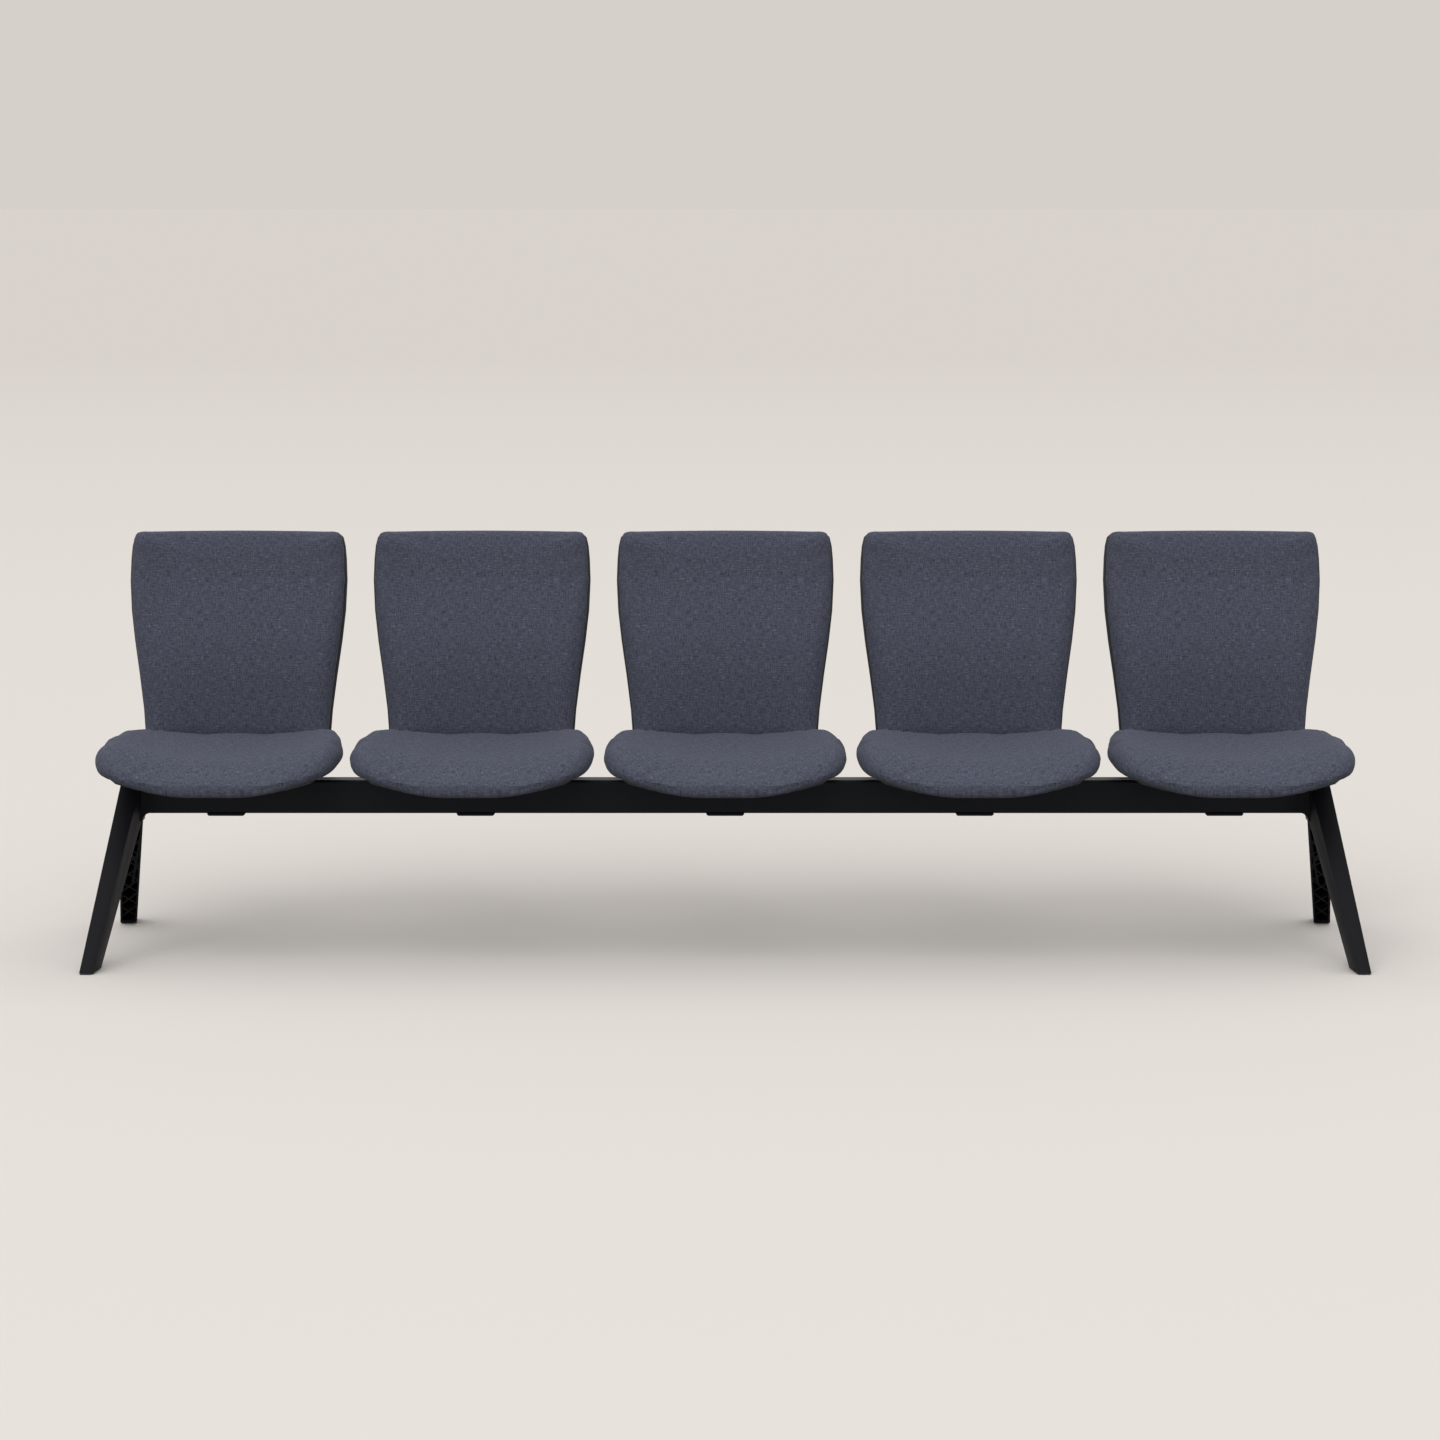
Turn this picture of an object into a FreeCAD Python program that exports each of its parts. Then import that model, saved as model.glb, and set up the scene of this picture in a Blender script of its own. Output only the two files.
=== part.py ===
"""Five-seat beam seating: one steel beam on two cast legs, with five upholstered seats and backs.

Millimetres. X runs along the beam, the front of the seats faces -Y, Z is up, and the origin is on the
floor under the middle of the beam.
"""
import FreeCAD, Part
import math
import os
import Sketcher

V = FreeCAD.Vector
UP = V(0, 0, 1)

SIZES = {
    # the bench as a whole
    "seat_pitch": 520,            # from one seat's centre to the next
    "seat_count": 5,
    "beam_overhang": 149,         # beam beyond the outer seats' centres
    "running_gap": 0.3,           # clearance between pieces that are pushed together
    # beam: rectangular steel tube
    "beam_height": 70,
    "beam_depth": 50,
    "beam_wall": 3,
    "beam_corner": 6,
    "beam_underside": 286,        # height above the floor
    # legs: cast inverted V, one at each end
    "foot_spread": 296,           # foot's outer edge from the beam's centre line
    "foot_depth": 58,
    "foot_reach": 119,            # foot's outboard edge beyond the beam's end
    "foot_web": 27.5,               # width of the smooth outer web at the floor
    "foot_flare": 8,              # how much wider the open edge is than the web at the floor
    "crown_spread": 31,           # half depth of the leg at the beam's top
    "crown_reach": 66,
    "crown_web": 36,
    "apex_height": 280,           # where the two limbs' inner edges meet
    "apex_reach": 27,             # inboard face of the leg at the apex, from the beam's end
    "apex_round": 20,
    "web_wall": 6,
    "flange_wall": 4,
    "foot_wall": 6,
    "rib_wall": 3,
    "rib_pitch": 42,
    "rib_setback": 4,             # ribs stop this far inside the open edge
    "core_crown": 308,            # top of the pocket
    "core_half_gap": 31,          # solid metal kept each side of the beam's centre line
    "stub_round": 18,             # concave round below the stub that meets the beam
    "spigot_length": 100,
    "spigot_wall": 6,
    "glide_thickness": 3,
    "glide_inset": 2.5,
    "glide_peg": 12,
    "leg_bolt": 10,
    # clamp plate under the beam and carrier over it
    "clamp_width": 79,
    "clamp_thickness": 5,
    "clamp_chamfer": 3.5,
    "clamp_bolt": 10,
    "carrier_width": 80,
    "carrier_thickness": 6,
    "carrier_lip": 10,            # how far the carrier's lips reach down the beam
    "carrier_lip_wall": 4,
    "carrier_front": 135,         # front arm's seat posts from the beam's centre line
    "carrier_rear": 105,
    "carrier_half_span": 108,     # seat posts to each side
    "carrier_arm": 30,
    "carrier_rib": 6,
    "carrier_rib_depth": 8,
    # upright: bent steel bar from the carrier to the back
    "upright_width": 50,
    "upright_thickness": 8,
    "upright_start": 34,          # front end of the bar behind the beam's centre line
    "upright_bend": 30,
    "upright_bolt": 8,
    "upright_bolt_pitch": 42,
    "upright_length": 190,        # straight run along the back, above the bend
    # seat pad
    "seat_width": 497,
    "seat_front": 255,            # front edge from the beam's centre line
    "seat_rear": 172,
    "seat_crest": 60,             # top of the pad's middle above the beam
    "seat_foam": 36,              # foam in the middle
    "seat_roll": 56,              # thickness of the rolled sides
    "seat_dish": 32,              # how far the top rises to the sides
    "seat_fall": 20,              # how far the front lip drops
    "seat_lip": 33,               # how far the front lip's underside drops
    "seat_lip_rise": 16,          # how much more the lip's underside rises to the sides
    "seat_fall_length": 110,
    "seat_taper": 26,             # width lost on each side from the middle to the rear
    "seat_end_round": 17,
    "pan_thickness": 6,
    "pan_inset": 24,
    "pan_post": 22,               # square posts that stand on the carrier
    # back pad
    "back_width": 464,
    "back_foot_width": 394,
    "back_top_width": 448,
    "back_height": 461,           # along the lean
    "back_widest": 360,           # widest place above the pad's lower edge
    "back_lean": 10,              # degrees from upright
    "back_foam": 32,
    "back_end_round": 13,
    "back_curl": 12,              # how far the sides come forward
    "back_lumbar": 9,
    "back_seat_gap": 6,           # between the seat's rear edge and the back
    "back_below_seat": 22,        # back's lower edge under the seat's top
    "shell_wall": 5,
    "back_rim": 3,                # how far the shell's edge shows round the foam
    "shell_corner": 17,
}

doc = FreeCAD.newDocument("BeamSeating")
sheet = doc.addObject("Spreadsheet::Sheet", "Size")
for row, (word, value) in enumerate(SIZES.items(), start=1):
    sheet.set(f"A{row}", word)
    sheet.set(f"B{row}", str(value))
    sheet.setAlias(f"B{row}", word)
doc.recompute()


def measure(expression):
    """The value of an expression that reads the sheet, such as Size.beam_depth / 2."""
    return float(sheet.evalExpression(str(expression)))


# sizes that several pieces share, as expressions on the sheet
BEAM_LENGTH = "((Size.seat_count - 1) * Size.seat_pitch + 2 * Size.beam_overhang)"
BEAM_TOP = "(Size.beam_underside + Size.beam_height)"
CARRIER_TOP = f"({BEAM_TOP} + Size.carrier_thickness)"
SEAT_TOP = f"({BEAM_TOP} + Size.seat_crest)"
FIRST_SEAT = "(-(Size.seat_count - 1) * Size.seat_pitch / 2)"

seat_count = int(measure("Size.seat_count"))
numbers = range(1, seat_count + 1)


def seat_x(number):
    """Where a seat's middle is along the beam, counted from the left as seen from the front."""
    return f"{FIRST_SEAT} + {number - 1} * Size.seat_pitch"


def new_body(label):
    body = doc.addObject("PartDesign::Body", label)
    body.Label = label
    return body


def put(piece, x="0", y="0", z="0"):
    """Bind a piece's place to the sheet."""
    for axis, expression in zip("xyz", (x, y, z)):
        piece.setExpression(f".Placement.Base.{axis}", expression)


def new_sketch(body, name, role, height="0"):
    """An empty sketch on one of the body's origin planes, moved out along the plane's normal."""
    sketch = body.newObject("Sketcher::SketchObject", name)
    plane = next(f for f in body.Origin.OriginFeatures if f.Role == role)
    sketch.AttachmentSupport = (plane, [""])
    sketch.MapMode = "FlatFace"
    sketch.setExpression("AttachmentOffset.Base.z", height)
    return sketch


def fix_point(sketch, geometry, position, x, y):
    """Hold a point of the sketch at two expressions, measured from the origin."""
    for kind, expression in (("DistanceX", x), ("DistanceY", y)):
        constraint = sketch.addConstraint(
            Sketcher.Constraint(kind, -1, 1, geometry, position, measure(expression)))
        sketch.setExpression(f"Constraints[{constraint}]", expression)


def add_outline(sketch, corners):
    """Add a closed outline of straight lines through corners given as pairs of expressions."""
    first, count = sketch.GeometryCount, len(corners)
    points = [V(measure(x), measure(y), 0) for x, y in corners]
    for start, end in zip(points, points[1:] + points[:1]):
        sketch.addGeometry(Part.LineSegment(start, end))
    for i in range(count):
        sketch.addConstraint(Sketcher.Constraint("Coincident", first + i, 2, first + (i + 1) % count, 1))
    for i, (x, y) in enumerate(corners, start=first):
        fix_point(sketch, i, 1, x, y)


def polygon(body, name, role, corners, height="0"):
    sketch = new_sketch(body, name, role, height)
    add_outline(sketch, corners)
    return sketch


def rectangle(body, name, role, x0, y0, x1, y1, height="0"):
    return polygon(body, name, role, [(x0, y0), (x1, y0), (x1, y1), (x0, y1)], height)


def squares(body, name, role, centres, width, height="0"):
    """Square outlines of one width, each centre a pair of expressions."""
    sketch = new_sketch(body, name, role, height)
    for x, y in centres:
        add_outline(sketch, [(f"{x} + {i} * ({width}) / 2", f"{y} + {j} * ({width}) / 2")
                             for i, j in ((-1, -1), (1, -1), (1, 1), (-1, 1))])
    return sketch


def circles(body, name, role, centres, diameter, height="0"):
    """Round outlines of one diameter, each centre a pair of expressions."""
    sketch = new_sketch(body, name, role, height)
    for i, (x, y) in enumerate(centres):
        sketch.addGeometry(Part.Circle(V(measure(x), measure(y), 0), UP, measure(diameter) / 2))
        fix_point(sketch, i, 3, x, y)
        constraint = sketch.addConstraint(Sketcher.Constraint("Diameter", i, measure(diameter)))
        sketch.setExpression(f"Constraints[{constraint}]", diameter)
    return sketch


def grow(body, name, sketch, length, both_ways=False, down=False):
    """Pad a sketch along its plane's normal, or against it."""
    pad = body.newObject("PartDesign::Pad", name)
    pad.Profile = sketch
    pad.SideType = "Symmetric" if both_ways else "One side"
    pad.Reversed = down
    pad.setExpression("Length", length)
    doc.recompute()
    return pad


def cut(body, name, sketch, length=None, both_ways=False, reverse=False):
    """Pocket a sketch, through everything where no length is given, and be sure that it cut."""
    before = body.Shape.Volume
    pocket = body.newObject("PartDesign::Pocket", name)
    pocket.Profile = sketch
    pocket.SideType = "Symmetric" if both_ways else "One side"
    pocket.Reversed = reverse
    if length is None:
        pocket.Type = "ThroughAll"
    else:
        pocket.setExpression("Length", length)
    doc.recompute()
    if not body.Shape.Volume < before:
        raise RuntimeError(f"{body.Label}: {name} cuts nothing")
    return pocket


def edges_where(shape, test):
    """Names of the edges for which the test, given the edge, is true."""
    return [f"Edge{i}" for i, edge in enumerate(shape.Edges, start=1) if test(edge)]


def runs_along(edge, axis):
    """Whether an edge is a straight line along an axis."""
    if not isinstance(edge.Curve, Part.Line):
        return False
    return abs(abs(edge.Curve.Direction.dot(axis)) - 1) < 1e-6


def round_off(body, name, feature, edges, radius):
    fillet = body.newObject("PartDesign::Fillet", name)
    fillet.Base = (feature, edges)
    fillet.setExpression("Radius", radius)
    doc.recompute()
    return fillet


def bevel(body, name, feature, edges, width):
    chamfer = body.newObject("PartDesign::Chamfer", name)
    chamfer.Base = (feature, edges)
    chamfer.setExpression("Size", width)
    doc.recompute()
    return chamfer


def free_shape(label, shape, x="0", y="0", z="0", lean=None):
    """A piece whose form is a loft or a turned group, placed and leaned from the sheet."""
    piece = doc.addObject("Part::Feature", label)
    piece.Label = label
    piece.Shape = shape
    if lean is not None:
        piece.Placement.Rotation = FreeCAD.Rotation(V(1, 0, 0), lean)
    put(piece, x, y, z)
    return piece


# bolts and nuts; the square-necked ones are square for their whole length, which keeps their facets few

def prism(sides, across, height):
    """A bar with so many flat sides, its width given across them, standing on z = 0."""
    corner = across / 2 / math.cos(math.pi / sides)
    turns = [(2 * k + 1) * math.pi / sides for k in range(sides)]
    ring = [V(corner * math.cos(turn), corner * math.sin(turn), 0) for turn in turns]
    return Part.Face(Part.makePolygon(ring + ring[:1])).extrude(UP * height)


def square_necked_bolt(diameter, length):
    """Low eight-sided head on z = 0, square shank down."""
    return prism(8, 2 * diameter, 0.4 * diameter).fuse(prism(4, diameter, length).translated(-UP * length))


def hexagon_bolt(diameter, length):
    """Hexagon head on z = 0, round shank down."""
    shank = Part.makeCylinder(diameter / 2, length, V(0, 0, -length))
    return prism(6, 1.6 * diameter, 0.6 * diameter).fuse(shank)


def nut(diameter):
    """Standing on z = 0, with a bore for a square-necked bolt."""
    tall = NUT_TALL * diameter
    return prism(6, 1.6 * diameter, tall).cut(prism(4, diameter, tall))


NUT_TALL = 0.8


def group(label, solid, places, **where):
    """Copies of one fastener, as separate solids of one node."""
    copies = []
    for place in places:
        copy = solid.copy()
        copy.Placement = place
        copies.append(copy)
    return free_shape(label, Part.makeCompound(copies), **where)


# beam

beam = new_body("beam")
outer = rectangle(beam, "beam_outside", "YZ_Plane", "-Size.beam_depth / 2", "Size.beam_underside",
                  "Size.beam_depth / 2", BEAM_TOP)
tube = grow(beam, "beam_bar", outer, BEAM_LENGTH, both_ways=True)
X_AXIS = V(1, 0, 0)
tube = round_off(beam, "beam_corners", tube, edges_where(tube.Shape, lambda e: runs_along(e, X_AXIS)),
                 "Size.beam_corner")
bore = rectangle(beam, "beam_inside", "YZ_Plane", "-Size.beam_depth / 2 + Size.beam_wall",
                 "Size.beam_underside + Size.beam_wall", "Size.beam_depth / 2 - Size.beam_wall",
                 f"{BEAM_TOP} - Size.beam_wall")
tube = cut(beam, "beam_bore", bore, both_ways=True)
inner_half = measure("Size.beam_depth / 2 - Size.beam_wall")


def in_bore(edge):
    middle = edge.CenterOfMass
    return runs_along(edge, X_AXIS) and abs(abs(middle.y) - inner_half) < 1e-3


tube = round_off(beam, "bore_corners", tube, edges_where(tube.Shape, in_bore),
                 "Size.beam_corner - Size.beam_wall")
CLAMP_HOLE = "Size.clamp_bolt + 2 * Size.running_gap"
clamp_outline = squares(beam, "first_clamp_outline", "XY_Plane", [(FIRST_SEAT, "0")], CLAMP_HOLE)
first_hole = cut(beam, "first_clamp_hole", clamp_outline, both_ways=True)
row = beam.newObject("PartDesign::LinearPattern", "clamp_hole_row")
row.Originals = [first_hole]
row.Direction = (clamp_outline, ["H_Axis"])
row.setExpression("Length", "(Size.seat_count - 1) * Size.seat_pitch")
row.setExpression("Occurrences", "Size.seat_count")
beam.Tip = row
doc.recompute()

LEG_BOLT_HEIGHT = "(Size.beam_underside + Size.beam_height / 2)"
rear_holes = circles(beam, "leg_bolt_holes", "XZ_Plane",
                     [(f"{sign} * ({BEAM_LENGTH} - Size.spigot_length) / 2", LEG_BOLT_HEIGHT)
                      for sign in (-1, 1)], "Size.leg_bolt + 2 * Size.running_gap")
cut(beam, "rear_wall_holes", rear_holes, "Size.beam_depth")


# legs: an inverted V cut to its splay, cored out from inside the V and ribbed, with a spigot for the beam

def between(low, high, height, full):
    """An expression that goes in a straight line from one size to another over a height."""
    return f"({low} + ({high} - {low}) * ({height}) / ({full}))"


def web_y(height):
    return between("Size.foot_spread", "Size.crown_spread", height, BEAM_TOP)


def open_y(height):
    return between("(Size.foot_spread - Size.foot_depth)", "0", height, "Size.apex_height")


def apart(label, features):
    """Mirror features of a body to the other side of the beam's centre line."""
    mirrored = label.newObject("PartDesign::Mirrored", "other_limb")
    mirrored.Originals = features
    plane = next(f for f in label.Origin.OriginFeatures if f.Role == "XZ_Plane")
    mirrored.MirrorPlane = (plane, [""])
    label.Tip = mirrored
    doc.recompute()
    return mirrored


FOOT = "Size.glide_thickness"
CORE_FLOOR = "(Size.glide_thickness + Size.foot_wall)"
LEG_REACH = "(Size.foot_reach + Size.foot_web)"

leg_shape = new_body("leg_profile")
v_outline = polygon(leg_shape, "v_outline", "YZ_Plane", [
    (f"-{web_y(FOOT)}", FOOT), (f"-{open_y(FOOT)}", FOOT), ("0", "Size.apex_height"),
    (open_y(FOOT), FOOT), (web_y(FOOT), FOOT), ("Size.crown_spread", BEAM_TOP),
    ("-Size.crown_spread", BEAM_TOP)])
v_block = grow(leg_shape, "v_block", v_outline, LEG_REACH)


def at_apex(edge):
    middle = edge.CenterOfMass
    return runs_along(edge, X_AXIS) and abs(middle.y) + abs(middle.z - measure("Size.apex_height")) < 1e-3


round_off(leg_shape, "apex_arch", v_block, edges_where(v_block.Shape, at_apex), "Size.apex_round")

stub_body = new_body("leg_stub")
stub_outline = rectangle(stub_body, "stub_outline", "YZ_Plane", "-Size.beam_depth / 2",
                         "Size.beam_underside", "Size.beam_depth / 2", BEAM_TOP)
stub = grow(stub_body, "stub", stub_outline, "Size.crown_reach - Size.crown_web / 2")
round_off(stub_body, "stub_corners", stub,
          edges_where(stub.Shape, lambda e: runs_along(e, X_AXIS)), "Size.beam_corner")
SPIGOT_INSET = "(Size.beam_wall + Size.running_gap)"
HOLLOW_INSET = f"({SPIGOT_INSET} + Size.spigot_wall)"


def inset_outline(name, inset):
    """The beam's outline drawn in by an inset."""
    return rectangle(stub_body, name, "YZ_Plane", f"-Size.beam_depth / 2 + {inset}",
                     f"Size.beam_underside + {inset}", f"Size.beam_depth / 2 - {inset}",
                     f"{BEAM_TOP} - {inset}")


spigot = grow(stub_body, "spigot", inset_outline("spigot_outline", SPIGOT_INSET), "Size.spigot_length",
              down=True)
round_off(stub_body, "spigot_corners", spigot,
          edges_where(spigot.Shape, lambda e: runs_along(e, X_AXIS) and e.CenterOfMass.x < 0),
          "Size.beam_corner - Size.beam_wall")
cut(stub_body, "spigot_hollow", inset_outline("hollow_outline", HOLLOW_INSET), "Size.spigot_length")
STUB_ARC_X = "Size.apex_reach - Size.stub_round"
STUB_ARC_Z = "Size.beam_underside - Size.stub_round"
corner_outline = rectangle(stub_body, "corner_outline", "XZ_Plane", STUB_ARC_X, STUB_ARC_Z,
                           "Size.crown_reach - Size.crown_web / 2",
                           "Size.beam_underside + Size.beam_corner")
grow(stub_body, "corner_block", corner_outline, "Size.beam_depth - 2 * Size.beam_corner", both_ways=True)
arc_outline = circles(stub_body, "arc_outline", "XZ_Plane", [(STUB_ARC_X, STUB_ARC_Z)],
                      "2 * Size.stub_round")
cut(stub_body, "corner_arc", arc_outline, "Size.beam_depth", both_ways=True)
bolt_thread = circles(stub_body, "bolt_thread_outline", "XZ_Plane",
                      [("-Size.spigot_length / 2", LEG_BOLT_HEIGHT)], "Size.leg_bolt + 2 * Size.running_gap")
cut(stub_body, "bolt_thread", bolt_thread, "Size.beam_depth", both_ways=True)


def pocket_outline(past):
    """A limb's pocket seen from the side, its open face moved past the open edge."""
    web_offset = "Size.web_wall"
    turn = f"Size.apex_height * (1 - (Size.core_half_gap + {past}) / (Size.foot_spread - Size.foot_depth))"
    return [(f"-({web_y(CORE_FLOOR)} - {web_offset})", CORE_FLOOR),
            (f"-({open_y(CORE_FLOOR)} - {past})", CORE_FLOOR),
            ("-Size.core_half_gap", turn), ("-Size.core_half_gap", "Size.core_crown"),
            (f"-({web_y('Size.core_crown')} - {web_offset})", "Size.core_crown")]


def pocket_body(label, past):
    body = new_body(label)
    block = grow(body, "front_" + label, polygon(body, label + "_outline", "YZ_Plane",
                                                 pocket_outline(past)), LEG_REACH)
    apart(body, [block])
    return body


core = pocket_body("pockets", "2 * Size.rib_setback")
rib_zone = pocket_body("rib_zone", "(-Size.rib_setback)")


def beyond(a, b, c, outside):
    """A block with one face in the plane of three points, on the side where the fourth lies."""
    reach = 4 * measure("Size.foot_spread")
    along = (b - a).normalize()
    normal = along.cross(c - a).normalize()
    if normal.dot(outside - a) < 0:
        normal = -normal
    across = normal.cross(along)
    ring = [a + along * (i * reach) + across * (j * reach)
            for i, j in ((-1, -1), (1, -1), (1, 1), (-1, 1), (-1, -1))]
    return Part.Face(Part.makePolygon(ring)).extrude(normal * reach)


def trim_to_splay(solid, wall):
    """Cut a V block to the leg's leaning sides, a wall's thickness inside them."""
    foot_reach, foot_web = measure("Size.foot_reach"), measure("Size.foot_web")
    spread, depth = measure("Size.foot_spread"), measure("Size.foot_depth")
    inner_web, flare = foot_reach - foot_web, measure("Size.foot_flare")
    outboard = beyond(V(foot_reach - wall, 0, 0), V(foot_reach - wall, 1, 0),
                      V(measure("Size.crown_reach") - wall, 0, measure(BEAM_TOP)), V(2 * foot_reach, 0, 0))
    solid = solid.cut(outboard)
    inboard = beyond(V(inner_web + wall, -spread, 0), V(inner_web - flare + wall, depth - spread, 0),
                     V(measure("Size.apex_reach") + wall, 0, measure("Size.apex_height")),
                     V(-foot_reach, 0, 0))
    return solid.cut([inboard, inboard.mirror(V(0, 0, 0), V(0, 1, 0))])


def rib_plates():
    """Crossed plates square to the front limb's web, up the pocket, each turned half a right angle."""
    rise = V(0, measure("Size.foot_spread - Size.crown_spread"), measure(BEAM_TOP)).normalize()
    inward = rise.cross(X_AXIS).normalize()
    pitch, wall = measure("Size.rib_pitch"), measure("Size.rib_wall")
    length, depth = 4 * pitch, 2 * measure("Size.foot_spread")
    count = int((measure("Size.core_crown") - measure(CORE_FLOOR)) / (pitch * rise.z))
    lean = measure("Size.foot_reach - Size.crown_reach") / measure(BEAM_TOP)
    plates = []
    for step in range(count + 1):
        height = measure(CORE_FLOOR) + pitch * rise.z * (step + 0.5)
        middle = V(measure("Size.foot_reach - Size.foot_web / 2") - lean * height,
                   -measure(web_y(height)), height)
        for turn in (-1, 1):
            long_way = (rise + X_AXIS * turn).normalize()
            plate = Part.makeBox(length, wall, depth, V(-length / 2, -wall / 2, -depth / 2))
            plate.Placement = FreeCAD.Placement(
                middle, FreeCAD.Rotation(long_way, inward.cross(long_way), inward, "ZXY"))
            plates.append(plate)
    return plates


ribs = [plate.common(trim_to_splay(rib_zone.Shape, 0)) for plate in rib_plates()]
ribs = [rib for rib in ribs if rib.Volume > 1]
ribs += [rib.mirror(V(0, 0, 0), V(0, 1, 0)) for rib in ribs]
hollow = trim_to_splay(core.Shape, measure("Size.flange_wall")).cut(ribs)
casting = trim_to_splay(leg_shape.Shape, 0).fuse(stub_body.Shape).removeSplitter().cut(hollow)


PEG_X = "Size.foot_reach - Size.foot_web / 2"
PEG_Y = "Size.foot_spread - Size.foot_depth / 2"
peg_hole = measure("Size.glide_peg + 2 * Size.running_gap")
for sign in (-1, 1):
    corner = V(measure(PEG_X), sign * measure(PEG_Y), 0) - V(peg_hole, peg_hole, 0) / 2
    casting = casting.cut(Part.makeBox(peg_hole, peg_hole, measure(CORE_FLOOR), corner))
for label, turn, sign in (("leg_left", 180, -1), ("leg_right", 0, 1)):
    leg = doc.addObject("Part::Feature", label)
    leg.Shape = casting
    leg.Placement.Rotation = FreeCAD.Rotation(UP, turn)
    put(leg, f"{sign} * {BEAM_LENGTH} / 2")

# glides: a plastic pad under each foot, held by a peg; the left leg is the right one turned half round
for side, turn, sign in (("left", 180, -1), ("right", 0, 1)):
    for end, way in (("front", -sign), ("rear", sign)):
        glide = new_body(f"glide_{end}_{side}")
        sole = rectangle(glide, f"sole_{end}_{side}", "XY_Plane",
                         "Size.foot_reach - Size.foot_web + Size.glide_inset",
                         f"{way} * (Size.foot_spread - Size.foot_depth + Size.glide_inset)",
                         "Size.foot_reach - Size.glide_inset",
                         f"{way} * (Size.foot_spread - Size.glide_inset)")
        grow(glide, f"sole_pad_{end}_{side}", sole, "Size.glide_thickness")
        peg = squares(glide, f"peg_{end}_{side}", "XY_Plane", [(PEG_X, f"{way} * ({PEG_Y})")],
                      "Size.glide_peg", "Size.glide_thickness")
        grow(glide, f"peg_pad_{end}_{side}", peg, "Size.foot_wall")
        glide.Placement.Rotation = FreeCAD.Rotation(UP, turn)
        put(glide, f"{sign} * {BEAM_LENGTH} / 2")

# clamp plates under the beam
CLAMP_BOTTOM = "(Size.beam_underside - Size.clamp_thickness)"
Y_AXIS = V(0, 1, 0)
CLAMP_BOLT = [("0", "0")]
for number in numbers:
    plate = new_body(f"clamp_plate_{number}")
    outline = rectangle(plate, f"clamp_outline_{number}", "XY_Plane", "-Size.clamp_width / 2",
                        "-Size.beam_depth / 2", "Size.clamp_width / 2", "Size.beam_depth / 2", CLAMP_BOTTOM)
    blank = grow(plate, f"clamp_blank_{number}", outline, "Size.clamp_thickness")
    lower_ends = edges_where(blank.Shape, lambda e: runs_along(e, Y_AXIS)
                             and e.CenterOfMass.z < measure(CLAMP_BOTTOM) + 1e-3)
    bevel(plate, f"clamp_bevel_{number}", blank, lower_ends, "Size.clamp_chamfer")
    outline = squares(plate, f"clamp_hole_{number}", "XY_Plane", CLAMP_BOLT, CLAMP_HOLE, CLAMP_BOTTOM)
    cut(plate, f"clamp_punch_{number}", outline, both_ways=True)
    put(plate, seat_x(number))

# carriers over the beam: a cast spider with four arms and lips that grip the tube
ARM_OUT = "(Size.carrier_half_span + Size.carrier_arm / 2)"
FRONT_OUT = "(Size.carrier_front + Size.carrier_arm / 2)"
FRONT_IN = "(Size.carrier_front - Size.carrier_arm / 2)"
REAR_OUT = "(Size.carrier_rear + Size.carrier_arm / 2)"
REAR_IN = "(Size.carrier_rear - Size.carrier_arm / 2)"
WAIST = "(Size.carrier_width / 2)"
SPLAY = "(Size.carrier_half_span - Size.carrier_width / 2)"
SEAT_POSTS = [(f"{i} * Size.carrier_half_span", y) for i in (-1, 1)
               for y in ("-Size.carrier_front", "Size.carrier_rear")]
UPRIGHT_BOLTS = [("0", f"Size.upright_start + Size.upright_width / 4 + {i} * Size.upright_bolt_pitch")
                 for i in (0, 1)]
UPRIGHT_HOLE = "Size.upright_bolt + 2 * Size.running_gap"
LIP = "(Size.beam_depth / 2 + Size.running_gap)"
RIB_IN = "(Size.upright_width / 2 + Size.running_gap)"
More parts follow.
